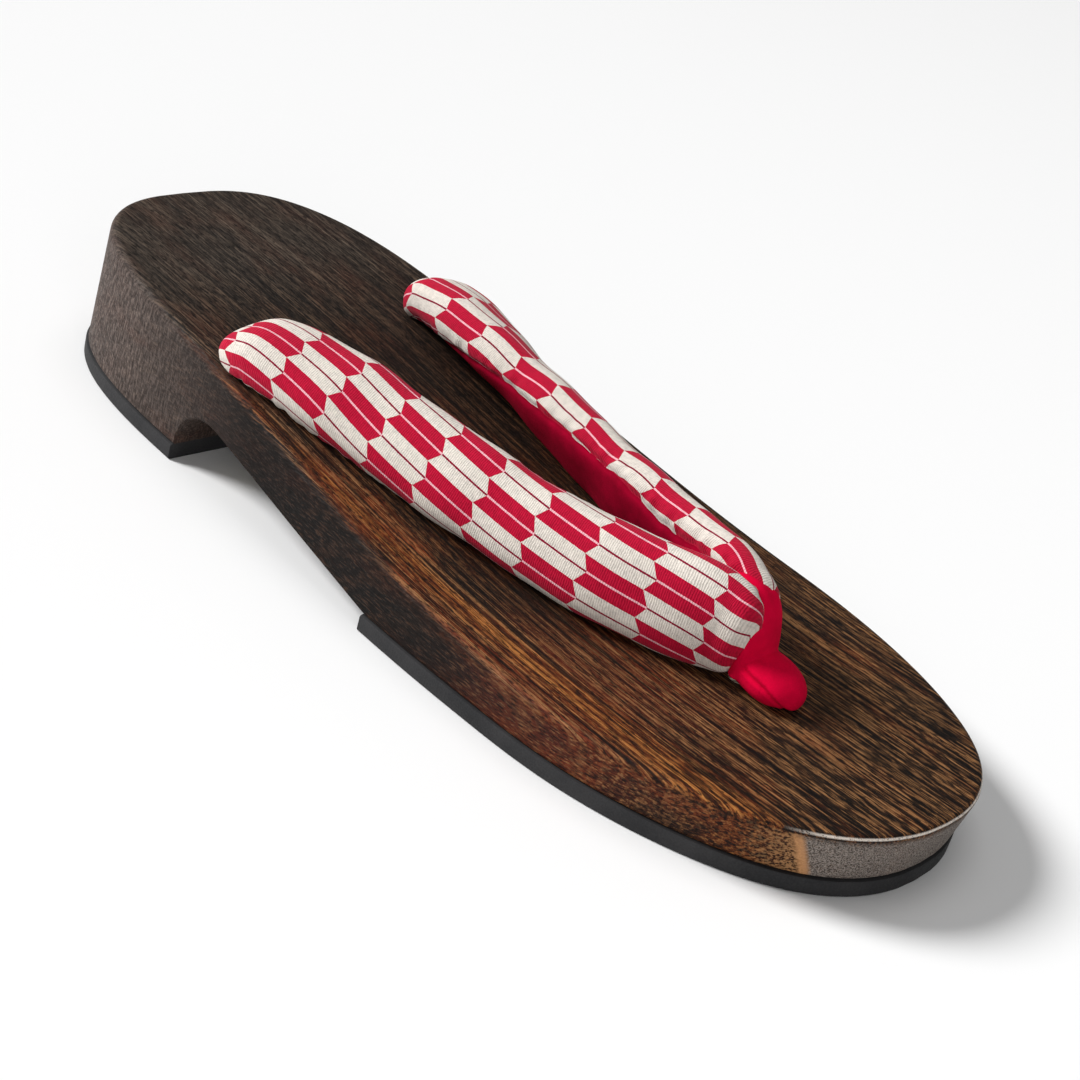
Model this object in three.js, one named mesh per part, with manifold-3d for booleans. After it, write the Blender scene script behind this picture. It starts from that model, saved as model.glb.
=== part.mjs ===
// A geta sandal. One wooden board with a heel block and a sawn arch stands on two rubber
// treads. A padded strap lies on it in a V, held at the front by a velvet toe thong.
// The cord ends of strap and thong pass through the board and are knotted below it.
// Millimetres. The toe points to -Y, the heel to +Y, and Z = 0 is the ground.

import * as THREE from 'three';
import { mergeVertices } from 'three/addons/utils/BufferGeometryUtils.js';
import Module from 'manifold-3d';

const wasm = await Module();
wasm.setup();

// Driving dimensions of the board
const boardLength = 240;
const ballWidth = 92.5;
const heelTop = 33.5;
const forefootTop = 14;
const rimRadius = 1.6;
const heelFlare = 1.4;
const toeTuck = 2.1;
const heelRoundLength = 65;
const heelRoundPower = 2.85;
const toeRoundLength = 74;
const toeRoundPower = 2.17;

// Driving dimensions of the heel block, the arch and the treads
const heelBlockLength = 60;
const breastRadius = 10.3;
const archRoofLength = 2;
const forefootTreadLength = 110.5;
const treadThickness = 3.7;
const treadProud = 0.5;

// Driving dimensions of the strap, the thong and their holes
const strapWidth = 19;
const strapThickness = 12.6;
const strapSkew = 3;
const strapSkewAtJoin = 1;
const strapDrift = -2;
const rearHoleSpacing = 57;
const rearHoleFromHeel = 73;
const frontHoleFromToe = 51;
const joinFromToe = 56;
const joinRise = 11.5;
const thongWidth = 12;
const thongThickness = 3.8;
const padLength = 17;
const padWidth = 15.5;
const padHeight = 8.5;
const rearHoleDiameter = 8;
const frontHoleDiameter = 9;
const recessDiameter = 20;
const recessDepth = 5;
const knotDiameter = 13;
const knotHeight = 6;

// The gap between pieces that touch
const gap = 0.3;

// Places along the board, with the origin under the middle of the whole shoe: the heel
// tread reaches past the board's heel end
const heelEnd = (boardLength - heelFlare - treadProud) / 2;
const toeEnd = heelEnd - boardLength;
const rearHoleY = heelEnd - rearHoleFromHeel;
const frontHoleY = toeEnd + frontHoleFromToe;
const joinY = toeEnd + joinFromToe;

// Half width of the board before its ends are rounded: share of the length from the heel,
// share of half the ball width
const outlineTable = [
  { at: 0.00, half: 0.810 },
  { at: 0.15, half: 0.832 },
  { at: 0.30, half: 0.880 },
  { at: 0.45, half: 0.943 },
  { at: 0.60, half: 0.993 },
  { at: 0.75, half: 1.000 },
  { at: 0.90, half: 0.990 },
  { at: 1.00, half: 1.030 },
];

// Height of the foot bed: share of the length from the heel, share of the fall from the heel
// to the forefoot. Below 0 the bed rises again toward the toe.
const footBedTable = [
  { at: 0.00, rise: 1.000 },
  { at: 0.15, rise: 0.865 },
  { at: 0.30, rise: 0.640 },
  { at: 0.45, rise: 0.335 },
  { at: 0.60, rise: 0.092 },
  { at: 0.75, rise: 0.000 },
  { at: 0.90, rise: 0.020 },
  { at: 1.00, rise: 0.062 },
];

// Sections of one half of the strap, from its root behind the rear hole to the join.
// along: share of the way from rear hole to join, spread: share of half the hole spacing,
// lift: centre above the foot bed as a share of the rise at the join, lean: degrees from
// lying flat to standing on edge, width and thickness: shares of the strap's own.
const strapTable = [
  { along: -0.099, spread: 1.040, lift: 0.02, lean: 2, width: 0.26, thickness: 0.30 },
  { along: -0.089, spread: 1.038, lift: 0.10, lean: 3, width: 0.62, thickness: 0.56 },
  { along: -0.067, spread: 1.030, lift: 0.23, lean: 5, width: 0.90, thickness: 0.82 },
  { along: -0.017, spread: 0.990, lift: 0.44, lean: 12, width: 1.03, thickness: 1.00 },
  { along: 0.135, spread: 0.870, lift: 0.62, lean: 27, width: 1.06, thickness: 1.04 },
  { along: 0.340, spread: 0.740, lift: 0.70, lean: 47, width: 1.03, thickness: 1.03 },
  { along: 0.590, spread: 0.570, lift: 0.78, lean: 63, width: 1.02, thickness: 1.00 },
  { along: 0.800, spread: 0.400, lift: 0.87, lean: 72, width: 1.08, thickness: 0.97 },
  { along: 0.915, spread: 0.245, lift: 0.94, lean: 82, width: 1.13, thickness: 0.93 },
  { along: 0.988, spread: 0.135, lift: 0.92, lean: 88, width: 1.06, thickness: 0.88 },
  { along: 1.034, spread: 0.125, lift: 0.90, lean: 90, width: 0.86, thickness: 0.68 },
  { along: 1.054, spread: 0.125, lift: 0.88, lean: 90, width: 0.44, thickness: 0.34 },
];
const strapSteps = 48;
const strapSides = 20;
const paddedPower = 2.5;
const liningFlatness = 0.86;

// Interpolates one column of a table smoothly at a share, through its neighbouring rows
function column(table, key, name, at) {
  const last = table.length - 1;
  let row = table.findIndex((entry) => entry[key] > at) - 1;
  if (row < 0) row = at <= table[0][key] ? 0 : last - 1;
  const step = (table[row + 1][key] - table[row][key]);
  const t = THREE.MathUtils.clamp((at - table[row][key]) / step, 0, 1);
  const slope = (i) => {
    const before = table[Math.max(i - 1, 0)];
    const after = table[Math.min(i + 1, last)];
    return (after[name] - before[name]) / (after[key] - before[key]);
  };
  const start = table[row][name];
  const end = table[row + 1][name];
  const h = t * t * (3 - 2 * t);
  const leaving = slope(row) * step * t * (1 - t) * (1 - t);
  const arriving = slope(row + 1) * step * t * t * (1 - t);
  return start + (end - start) * h + leaving - arriving;
}

// Half width of the board at a distance from the heel end: the table's width, rounded off
// toward both ends as a quarter of a superellipse
function halfWidth(fromHeel) {
  const side = column(outlineTable, 'at', 'half', fromHeel / boardLength) * ballWidth / 2;
  const round = (distance, length, power) => {
    const reach = THREE.MathUtils.clamp(1 - distance / length, 0, 1);
    return (1 - reach ** power) ** (1 / power);
  };
  const heelRound = round(fromHeel, heelRoundLength, heelRoundPower);
  const toeRound = round(boardLength - fromHeel, toeRoundLength, toeRoundPower);
  return side * heelRound * toeRound;
}

// Height of the foot bed at a place along Y
function footBed(y) {
  const at = THREE.MathUtils.clamp((heelEnd - y) / boardLength, 0, 1);
  return forefootTop + (heelTop - forefootTop) * column(footBedTable, 'at', 'rise', at);
}

// Underside of the wood: flat on the treads, and between them an arch that rises from the
// heel block in a quarter circle and runs down straight to the forefoot
const archRoof = treadThickness + breastRadius;
const archEnd = boardLength - forefootTreadLength;
function underside(y) {
  const past = heelEnd - y - heelBlockLength;
  if (past <= 0 || heelEnd - y >= archEnd) return treadThickness;
  if (past < breastRadius) {
    return treadThickness + Math.sqrt(breastRadius ** 2 - (breastRadius - past) ** 2);
  }
  const slopeStart = breastRadius + archRoofLength;
  const run = archEnd - heelBlockLength - slopeStart;
  return archRoof - breastRadius * Math.max(past - slopeStart, 0) / run;
}

// Distances from the heel end at which the outline is sampled: close together on the
// rounded ends and on the curve of the heel block, and evenly along the sides
function stations(from, to) {
  const list = [from, to];
  const endSteps = 16;
  const endGather = 1.3;
  for (let i = 1; i < endSteps; i += 1) {
    const reach = Math.cos((i / endSteps) ** endGather * Math.PI / 2);
    list.push(heelRoundLength * (1 - reach ** (2 / heelRoundPower)));
    list.push(boardLength - toeRoundLength * (1 - reach ** (2 / toeRoundPower)));
  }
  const breastSteps = 6;
  for (let i = 0; i <= breastSteps; i += 1) {
    const turn = i / breastSteps * Math.PI / 2;
    list.push(heelBlockLength + breastRadius * (1 - Math.cos(turn)));
  }
  list.push(archEnd);
  const sideSteps = 40;
  for (let i = 1; i < sideSteps; i += 1) list.push(boardLength * i / sideSteps);
  const inside = list.filter((s) => s >= from && s <= to).sort((a, b) => a - b);
  const closest = 0.9;
  const fixed = [from, to, heelBlockLength, archEnd];
  return inside.filter((s, i) => {
    if (fixed.includes(s)) return i === 0 || s !== inside[i - 1];
    return fixed.every((f) => Math.abs(f - s) > closest / 3)
      && (i === 0 || s - inside[i - 1] > closest / 3);
  });
}

// Turns rings of points into one closed body. Every ring has as many points as the next,
// and the first and last are closed by strips between their mirrored points or by a fan.
function geometryFrom(points, faces) {
  const geometry = new THREE.BufferGeometry();
  geometry.setAttribute('position', new THREE.Float32BufferAttribute(points.flat(), 3));
  geometry.setIndex(faces.flat());
  return geometry;
}

// A body with the board's plan outline. Each level gives an outward offset and a height,
// both as functions of the place along Y, from the lowest level to the highest.
function plateGeometry(from, to, levels) {
  const list = stations(from, to);
  const edge = list.map((s) => {
    const nudge = 0.002;
    const before = halfWidth(Math.max(s - nudge, 0));
    const after = halfWidth(Math.min(s + nudge, boardLength));
    const tip = (s <= 0 ? 1 : 0) - (s >= boardLength ? 1 : 0);
    const slope = (after - before) / (2 * nudge);
    const size = Math.hypot(1, slope);
    const normal = tip !== 0 ? [0, tip] : [1 / size, slope / size];
    return { x: halfWidth(s), y: heelEnd - s, normal };
  });
  const count = edge.length;
  const points = [];
  levels.forEach(({ offset, height }) => {
    [1, -1].forEach((side) => {
      edge.forEach(({ x, y, normal }) => {
        const out = offset(y);
        const outX = Math.max(x + out * normal[0], 0);
        const outY = y + out * normal[1];
        points.push([side * outX, outY, height(outY)]);
      });
    });
  });
  const ring = 2 * count;
  const faces = [];
  const quad = (a, b, c, d) => faces.push([a, b, c], [a, c, d]);
  for (let level = 0; level < levels.length - 1; level += 1) {
    const low = level * ring;
    const high = low + ring;
    for (let i = 0; i < count - 1; i += 1) {
      quad(low + i + 1, low + i, high + i, high + i + 1);
      quad(low + count + i, low + count + i + 1, high + count + i + 1, high + count + i);
    }
    quad(low, low + count, high + count, high);
    quad(low + ring - 1, low + count - 1, high + count - 1, high + ring - 1);
  }
  const top = (levels.length - 1) * ring;
  for (let i = 0; i < count - 1; i += 1) {
    quad(top + count + i, top + count + i + 1, top + i + 1, top + i);
    quad(i, i + 1, count + i + 1, count + i);
  }
  return geometryFrom(points, faces);
}

// A body through rings that all have the same number of points, with a fan on each end
function loftGeometry(rings) {
  const sides = rings[0].length;
  const points = rings.flat().map((p) => p.toArray());
  const faces = [];
  for (let r = 0; r < rings.length - 1; r += 1) {
    for (let i = 0; i < sides; i += 1) {
      const next = (i + 1) % sides;
      const a = r * sides + i;
      const b = r * sides + next;
      faces.push([a, b, b + sides], [a, b + sides, a + sides]);
    }
  }
  [0, rings.length - 1].forEach((r) => {
    const centre = rings[r].reduce((sum, p) => sum.add(p), new THREE.Vector3());
    points.push(centre.divideScalar(sides).toArray());
    for (let i = 0; i < sides; i += 1) {
      const pair = [r * sides + i, r * sides + (i + 1) % sides];
      faces.push([points.length - 1, ...(r === 0 ? pair.reverse() : pair)]);
    }
  });
  return geometryFrom(points, faces);
}

// Closed geometry to a solid, and back. Turned-in bodies come out with their faces flipped.
function solid(geometry) {
  const bare = geometry.clone();
  bare.deleteAttribute('normal');
  bare.deleteAttribute('uv');
  const merged = mergeVertices(bare, 1e-5);
  const position = merged.attributes.position;
  const faces = [];
  for (let i = 0; i < merged.index.count; i += 3) {
    const [a, b, c] = [0, 1, 2].map((k) => merged.index.getX(i + k));
    if (a !== b && b !== c && c !== a) faces.push(a, b, c);
  }
  let volume = 0;
  const corner = (i) => new THREE.Vector3().fromBufferAttribute(position, faces[i]);
  for (let i = 0; i < faces.length; i += 3) {
    volume += corner(i).dot(corner(i + 1).cross(corner(i + 2)));
  }
  if (volume < 0) faces.reverse();
  return new wasm.Manifold(new wasm.Mesh({
    numProp: 3,
    vertProperties: new Float32Array(position.array),
    triVerts: new Uint32Array(faces),
  }));
}

function cylinder(diameter, bottom, top, x, y, sides = 24) {
  const height = top - bottom;
  const geometry = new THREE.CylinderGeometry(diameter / 2, diameter / 2, height, sides);
  geometry.rotateX(Math.PI / 2);
  geometry.translate(x, y, bottom + height / 2);
  return solid(geometry);
}

// The board: its wall leans out at the heel block and tucks in under the toe, and its
// top rim is rounded
const flare = (y) => {
  const share = (heelEnd - y) / boardLength;
  return heelFlare - (heelFlare + toeTuck) * share;
};
const rimSteps = 4;
function boardLevels() {
  const levels = [{ offset: flare, height: underside }];
  for (let i = 0; i <= rimSteps; i += 1) {
    const turn = i / rimSteps * Math.PI / 2;
    const offset = () => rimRadius * (Math.cos(turn) - 1);
    const height = (y) => footBed(y) - rimRadius * (1 - Math.sin(turn));
    levels.push({ offset, height });
  }
  return levels;
}

// The foot bed's surface raised by the gap, and everything below it: what lies on the
// board is cut flat by this
function belowFootBed() {
  const wide = () => strapThickness;
  return solid(plateGeometry(0, boardLength, [
    { offset: wide, height: () => 0 },
    { offset: wide, height: (y) => footBed(y) + gap },
  ]));
}

const board = solid(plateGeometry(0, boardLength, boardLevels()))
  .subtract(cylinder(rearHoleDiameter, 0, heelTop, rearHoleSpacing / 2, rearHoleY))
  .subtract(cylinder(rearHoleDiameter, 0, heelTop, -rearHoleSpacing / 2, rearHoleY))
  .subtract(cylinder(frontHoleDiameter, 0, heelTop, 0, frontHoleY))
  .subtract(cylinder(recessDiameter, 0, treadThickness + recessDepth, 0, frontHoleY, 36));

// A rubber tread: a flat sheet with the outline of the wood above it, a little proud of it
function tread(from, to) {
  const edge = (y) => flare(y) + treadProud;
  return solid(plateGeometry(from, to, [
    { offset: edge, height: () => 0 },
    { offset: edge, height: () => treadThickness },
  ]));
}
const heelTread = tread(0, heelBlockLength);
const forefootTread = tread(archEnd, boardLength)
  .subtract(cylinder(recessDiameter, -1, treadThickness + 1, 0, frontHoleY, 36));

// One padded ring: a superellipse, flatter on its lining side
function paddedRing(centre, across, outward, halfAcross, halfThick, sides = strapSides) {
  const ring = [];
  const bulge = (value) => Math.sign(value) * Math.abs(value) ** (2 / paddedPower);
  for (let i = 0; i < sides; i += 1) {
    const turn = i / sides * Math.PI * 2;
    const side = bulge(Math.cos(turn)) * halfAcross;
    const raise = bulge(Math.sin(turn)) * halfThick * (Math.sin(turn) < 0 ? liningFlatness : 1);
    const point = centre.clone().addScaledVector(across, side);
    ring.push(point.addScaledVector(outward, raise));
  }
  return ring;
}

// Centre of the strap at a share of its way, on one side. The strap was pulled through by
// hand, so the half at +X lies a little further back than the other, less so at the join,
// and behind the join both lie a little toward -X.
function strapCentre(along, side) {
  const value = (name) => column(strapTable, 'along', name, along);
  const skew = THREE.MathUtils.lerp(strapSkew, strapSkewAtJoin, along);
  const x = side * value('spread') * rearHoleSpacing / 2 + strapDrift * (1 - along);
  const y = rearHoleY + (joinY - rearHoleY) * along + side * skew;
  const z = footBed(y) + value('lift') * joinRise;
  return new THREE.Vector3(x, y, z);
}

// One half of the padded strap: its section leans over from flat at the root to standing
// on edge at the join, with its outer face out and up. Grown by a clearance all round and
// at its ends, it is the shape that the thong keeps clear of.
function strapHalf(side, clearance = 0) {
  const first = strapTable[0].along;
  const last = strapTable[strapTable.length - 1].along;
  const rings = [];
  for (let i = 0; i <= strapSteps; i += 1) {
    const along = first + (last - first) * ease(i / strapSteps);
    const value = (name) => column(strapTable, 'along', name, along);
    const centre = strapCentre(along, side);
    const nudge = 0.01;
    const ahead = strapCentre(along + nudge, side).sub(strapCentre(along - nudge, side));
    const tangent = ahead.normalize();
    centre.addScaledVector(tangent, clearance * (2 * i / strapSteps - 1));
    const up = new THREE.Vector3(0, 0, 1);
    up.addScaledVector(tangent, -up.dot(tangent)).normalize();
    const out = new THREE.Vector3().crossVectors(tangent, up);
    out.multiplyScalar(Math.sign(out.x) * side);
    const lean = THREE.MathUtils.degToRad(value('lean'));
    const across = out.clone().multiplyScalar(Math.cos(lean)).addScaledVector(up, -Math.sin(lean));
    const outward = out.clone().multiplyScalar(Math.sin(lean)).addScaledVector(up, Math.cos(lean));
    const halfAcross = value('width') * strapWidth / 2 + clearance;
    const halfThick = value('thickness') * strapThickness / 2 + clearance;
    rings.push(paddedRing(centre, across, outward, halfAcross, halfThick));
  }
  return solid(loftGeometry(rings));
}

// Steps that come closer together toward both ends, where the strap rounds off
function ease(t) {
  const gather = 0.55;
  return t - gather * Math.sin(2 * Math.PI * t) / (2 * Math.PI);
}

const bed = belowFootBed();
const strap = strapHalf(1).add(strapHalf(-1)).subtract(bed);

// The thong: a flat velvet loop that comes out of the V, over the join and down its front,
// and ends in a folded pad on the board. back: share of the strap's width behind the join
// (below 0: in front of it), rise: height above the foot bed as a share of the crest's,
// turn: degrees that its outer face leans from upward to the heel (below 0: to the toe),
// width and thickness: shares of the thong's own.
const crestRise = joinRise + strapWidth / 2;
const thongTable = [
  { step: 0, back: 0.34, rise: 0.70, turn: 58, width: 0.60, thickness: 0.60 },
  { step: 1, back: 0.22, rise: 0.80, turn: 44, width: 0.80, thickness: 0.95 },
  { step: 2, back: 0.06, rise: 0.85, turn: 14, width: 0.92, thickness: 1.00 },
  { step: 3, back: -0.11, rise: 0.82, turn: -34, width: 1.00, thickness: 1.00 },
  { step: 4, back: -0.24, rise: 0.70, turn: -66, width: 1.00, thickness: 1.00 },
  { step: 5, back: -0.31, rise: 0.53, turn: -82, width: 0.98, thickness: 1.05 },
  { step: 6, back: -0.34, rise: 0.34, turn: -90, width: 0.98, thickness: 1.20 },
  { step: 7, back: -0.34, rise: 0.12, turn: -90, width: 0.98, thickness: 1.30 },
];
function thongBand() {
  const rings = [];
  const steps = 24;
  const lastStep = thongTable[thongTable.length - 1].step;
  for (let i = 0; i <= steps; i += 1) {
    const value = (name) => column(thongTable, 'step', name, i / steps * lastStep);
    const y = joinY + value('back') * strapWidth;
    const z = footBed(joinY) + value('rise') * crestRise;
    const turn = THREE.MathUtils.degToRad(value('turn'));
    const out = new THREE.Vector3(0, Math.sin(turn), Math.cos(turn));
    const across = new THREE.Vector3(1, 0, 0);
    const halfAcross = value('width') * thongWidth / 2;
    const halfThick = value('thickness') * thongThickness / 2;
    rings.push(paddedRing(new THREE.Vector3(0, y, z), across, out, halfAcross, halfThick, 16));
  }
  return solid(loftGeometry(rings));
}

// The folded pad: a flattened cushion with its thick end toward the toe
function thongPad() {
  const geometry = new THREE.SphereGeometry(1, 24, 14);
  geometry.scale(padWidth / 2, padLength / 2, padHeight / 2);
  const tilt = 10;
  geometry.rotateX(THREE.MathUtils.degToRad(tilt));
  const padForward = 0.66;
  const padSeat = 0.42;
  const y = joinY - padForward * padLength;
  geometry.translate(0, y, footBed(y) + padSeat * padHeight);
  return solid(geometry);
}

const strapGrown = strapHalf(1, gap).add(strapHalf(-1, gap));
const toeThong = thongBand().add(thongPad()).subtract(strapGrown).subtract(bed);

// A cord end: a stem through the board and a round knot under it. The knot's top is the
// gap below the roof over it.
function knottedCord(x, y, holeDiameter, roof) {
  const stemDiameter = holeDiameter - 2 * gap;
  const knot = new THREE.SphereGeometry(1, 20, 12);
  knot.scale(knotDiameter / 2, knotDiameter / 2, knotHeight / 2);
  knot.translate(x, y, roof - gap - knotHeight / 2);
  const reach = holeDiameter / 2;
  const mouth = Math.min(footBed(y - reach), footBed(y + reach));
  const stem = cylinder(stemDiameter, roof - gap - knotHeight / 2, mouth, x, y, 16);
  return stem.add(solid(knot));
}
const knotReach = knotDiameter / 2;
const rearRoof = Math.min(underside(rearHoleY + knotReach), underside(rearHoleY - knotReach));
const rearHoleX = rearHoleSpacing / 2;
const rearCord = (side) => knottedCord(side * rearHoleX, rearHoleY, rearHoleDiameter, rearRoof);
const frontCord = knottedCord(0, frontHoleY, frontHoleDiameter, treadThickness + recessDepth);

// Materials
const wood = new THREE.MeshStandardMaterial({ color: '#4a3428', roughness: 0.55, metalness: 0 });
const rubber = new THREE.MeshStandardMaterial({ color: '#26262a', roughness: 0.85, metalness: 0 });
const cloth = new THREE.MeshStandardMaterial({ color: '#c8405a', roughness: 0.9, metalness: 0 });
const velvet = new THREE.MeshStandardMaterial({ color: '#b8002c', roughness: 0.95, metalness: 0 });
const cord = new THREE.MeshStandardMaterial({ color: '#d9d2c4', roughness: 0.9, metalness: 0 });

function mesh(name, body, material) {
  const { numProp, vertProperties, triVerts } = body.getMesh();
  const geometry = new THREE.BufferGeometry();
  const buffer = new THREE.InterleavedBuffer(vertProperties, numProp);
  geometry.setAttribute('position', new THREE.InterleavedBufferAttribute(buffer, 3, 0));
  geometry.setIndex(new THREE.BufferAttribute(triVerts, 1));
  geometry.computeVertexNormals();
  const node = new THREE.Mesh(geometry, material);
  node.name = name;
  return node;
}

const geta = new THREE.Group();
geta.add(
  mesh('board', board, wood),
  mesh('heel_tread', heelTread, rubber),
  mesh('forefoot_tread', forefootTread, rubber),
  mesh('strap', strap, cloth),
  mesh('toe_thong', toeThong, velvet),
  mesh('rear_cord_left', rearCord(1), cord),
  mesh('rear_cord_right', rearCord(-1), cord),
  mesh('front_cord', frontCord, cord),
);

export default geta;
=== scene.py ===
# %% [markdown]
# # A geta sandal
# A geta is a wooden sandal. One board of paulownia is sawn so that a heel block and a
# forefoot stand on the ground with an open arch between them. A padded strap in a V holds the
# foot, and a velvet thong pulls the point of the V down between the toes.
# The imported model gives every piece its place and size. This script dresses it: it makes
# finer surfaces with numpy, and gives each a material of its own.

import bmesh
import bpy
import numpy as np
from mathutils import Matrix, Vector


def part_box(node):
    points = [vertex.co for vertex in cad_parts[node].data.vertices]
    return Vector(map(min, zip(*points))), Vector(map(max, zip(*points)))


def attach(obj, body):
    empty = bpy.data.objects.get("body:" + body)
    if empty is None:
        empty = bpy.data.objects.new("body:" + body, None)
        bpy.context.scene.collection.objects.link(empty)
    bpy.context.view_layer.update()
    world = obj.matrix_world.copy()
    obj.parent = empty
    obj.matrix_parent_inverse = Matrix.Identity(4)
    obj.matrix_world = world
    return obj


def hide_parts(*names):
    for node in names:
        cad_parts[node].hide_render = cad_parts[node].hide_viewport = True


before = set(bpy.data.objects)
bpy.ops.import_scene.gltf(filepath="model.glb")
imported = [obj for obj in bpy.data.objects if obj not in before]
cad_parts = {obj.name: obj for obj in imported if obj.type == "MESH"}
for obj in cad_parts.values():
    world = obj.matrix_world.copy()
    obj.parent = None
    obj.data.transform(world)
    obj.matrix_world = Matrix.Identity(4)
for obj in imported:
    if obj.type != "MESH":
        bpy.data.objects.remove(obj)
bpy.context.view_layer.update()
print("nodes of the packed model:", sorted(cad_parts))

# %% [markdown]
# ## Sizes
# Blender works in metres, but a sandal is measured in millimetres. All shapes below are worked
# out in millimetres and scaled once, when a mesh is made. The overall sizes come from the
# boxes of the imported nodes, and the rest are the maker's own sizes.

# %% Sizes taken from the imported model
MM = 0.001
TO_MM = (1000, 1000, 1000)


def box_mm(node):
    """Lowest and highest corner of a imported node, in millimetres."""
    low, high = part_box(node)
    return np.array(low) / MM, np.array(high) / MM


board_low, board_high = box_mm("board")
tread_thickness = box_mm("heel_tread")[1][2]
forefoot_rear_y = box_mm("forefoot_tread")[1][1]
cord_low, cord_high = box_mm("rear_cord_left")
front_cord_low, front_cord_high = box_mm("front_cord")

heel_flare = 1.4
toe_tuck = 2.1
heel_end = board_high[1] - heel_flare
toe_end = board_low[1]
board_length = heel_end - toe_end
ball_width = board_high[0] - board_low[0]
heel_top = 33.5
forefoot_top = 14.0
tread_proud = 0.5
heel_block_length = 60.0
arch_end = heel_end - forefoot_rear_y
breast_radius = 10.3
arch_roof_length = 2.0
hole_x = (cord_low[0] + cord_high[0]) / 2
rear_hole_y = (cord_low[1] + cord_high[1]) / 2
front_hole_y = (front_cord_low[1] + front_cord_high[1]) / 2
print("board length, width, mm:", round(board_length, 1), round(ball_width, 1))
print("tread thickness, mm:", round(tread_thickness, 2), "rear holes at y", round(rear_hole_y, 1))

# %% [markdown]
# ## Smooth curves through a short table
# The plan outline, the dip of the foot bed and the strap's sections are each a short table of
# given values. A curve through them has to be smooth, because a kink would catch the light.

# %% A smooth curve through a table


def curve(at, values, where):
    """Cubic Hermite curve through the points (at, values), as an array over where.

    The slope at each point is the slope between its two neighbours. Between two points the
    value is their blend by 3t^2 - 2t^3, plus each slope times its own cubic that is zero at
    both points.
    """
    at, values = np.array(at, float), np.array(values, float)
    before = np.maximum(np.arange(len(at)) - 1, 0)
    after = np.minimum(np.arange(len(at)) + 1, len(at) - 1)
    slope = (values[after] - values[before]) / (at[after] - at[before])
    row = np.clip(np.searchsorted(at, where, side="right") - 1, 0, len(at) - 2)
    step = at[row + 1] - at[row]
    t = np.clip((where - at[row]) / step, 0, 1)
    blend = t * t * (3 - 2 * t)
    leaving = slope[row] * step * t * (1 - t) ** 2
    arriving = slope[row + 1] * step * t * t * (1 - t)
    return values[row] * (1 - blend) + values[row + 1] * blend + leaving - arriving


outline_at = [0.00, 0.15, 0.30, 0.45, 0.60, 0.75, 0.90, 1.00]
outline_half = [0.810, 0.832, 0.880, 0.943, 0.993, 1.000, 0.990, 1.030]
foot_bed_rise = [1.000, 0.865, 0.640, 0.335, 0.092, 0.000, 0.020, 0.062]
heel_round_length, heel_round_power = 65.0, 2.85
toe_round_length, toe_round_power = 74.0, 2.17


def half_width(from_heel):
    """Half width of the board at distances from the heel end, in millimetres.

    The table's width times two factors, one for each end: a quarter of a superellipse,
    (1 - r^p)^(1/p), where r runs from 1 at the tip to 0 where the rounding ends.
    """
    side = curve(outline_at, outline_half, from_heel / board_length) * ball_width / 2

    def rounded(distance, length, power):
        reach = np.clip(1 - distance / length, 0, 1)
        return (1 - reach**power) ** (1 / power)

    heel = rounded(from_heel, heel_round_length, heel_round_power)
    toe = rounded(board_length - from_heel, toe_round_length, toe_round_power)
    return side * heel * toe


def foot_bed(y):
    """Height of the foot bed along y: the table's rise between forefoot and heel."""
    share = np.clip((heel_end - y) / board_length, 0, 1)
    return forefoot_top + (heel_top - forefoot_top) * curve(outline_at, foot_bed_rise, share)


def underside(y):
    """Underside of the wood: flat over both treads, a quarter circle up behind the heel
    block, and a straight line down from there to the forefoot."""
    past = heel_end - y - heel_block_length
    lift = np.sqrt(np.clip(breast_radius**2 - (breast_radius - past) ** 2, 0, None))
    slope_start = breast_radius + arch_roof_length
    run = arch_end - heel_block_length - slope_start
    ramp = breast_radius * (1 - np.clip(past - slope_start, 0, None) / run)
    arch = np.where(past < breast_radius, lift, ramp)
    inside = (past > 0) & (heel_end - y < arch_end)
    return tread_thickness + np.where(inside, arch, 0)


print("board under the ball, mm:", round(float(foot_bed(-50) - underside(-50)), 1))

# %% [markdown]
# ## Meshes from arrays
# `from_pydata` takes plain lists of points and faces. Working out the points as whole numpy
# arrays is quick, and a grid of points needs only one rule for its faces.

# %% Helpers that turn grids into meshes


def linked(name, data):
    """An object for a mesh, lamp or camera, put into the scene."""
    piece = bpy.data.objects.new(name, data)
    bpy.context.scene.collection.objects.link(piece)
    return piece


def make(name, points, faces, material):
    """A mesh object at the origin from points in millimetres and faces of point numbers."""
    mesh = bpy.data.meshes.new(name)
    faces = faces if isinstance(faces, list) else faces.tolist()
    mesh.from_pydata((np.asarray(points) * MM).tolist(), [], faces)
    mesh.materials.append(material)
    mesh.shade_smooth()
    return linked(name, mesh)


def grid_faces(rows, columns, wrap):
    """Quads of a grid of rows x columns points. wrap joins the last column to the first."""
    number = np.arange(rows * columns).reshape(rows, columns)
    right = np.roll(number, -1, axis=1)
    last = columns if wrap else columns - 1
    quads = np.stack([number[:-1], right[:-1], right[1:], number[1:]], axis=-1)[:, :last]
    return quads.reshape(-1, 4)


def capped(rows, columns):
    """Faces of a closed tube: a wrapped grid, and a fan of triangles to a point at each end."""
    ring = np.arange(columns)
    ahead = np.roll(ring, -1)
    last, first_tip, last_tip = (rows - 1) * columns, rows * columns, rows * columns + 1
    first_fan = np.column_stack([ahead, ring, np.full(columns, first_tip)])
    last_fan = np.column_stack([last + ring, last + ahead, np.full(columns, last_tip)])
    fans = np.concatenate([first_fan, last_fan]).tolist()
    return grid_faces(rows, columns, wrap=True).tolist() + fans


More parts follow.
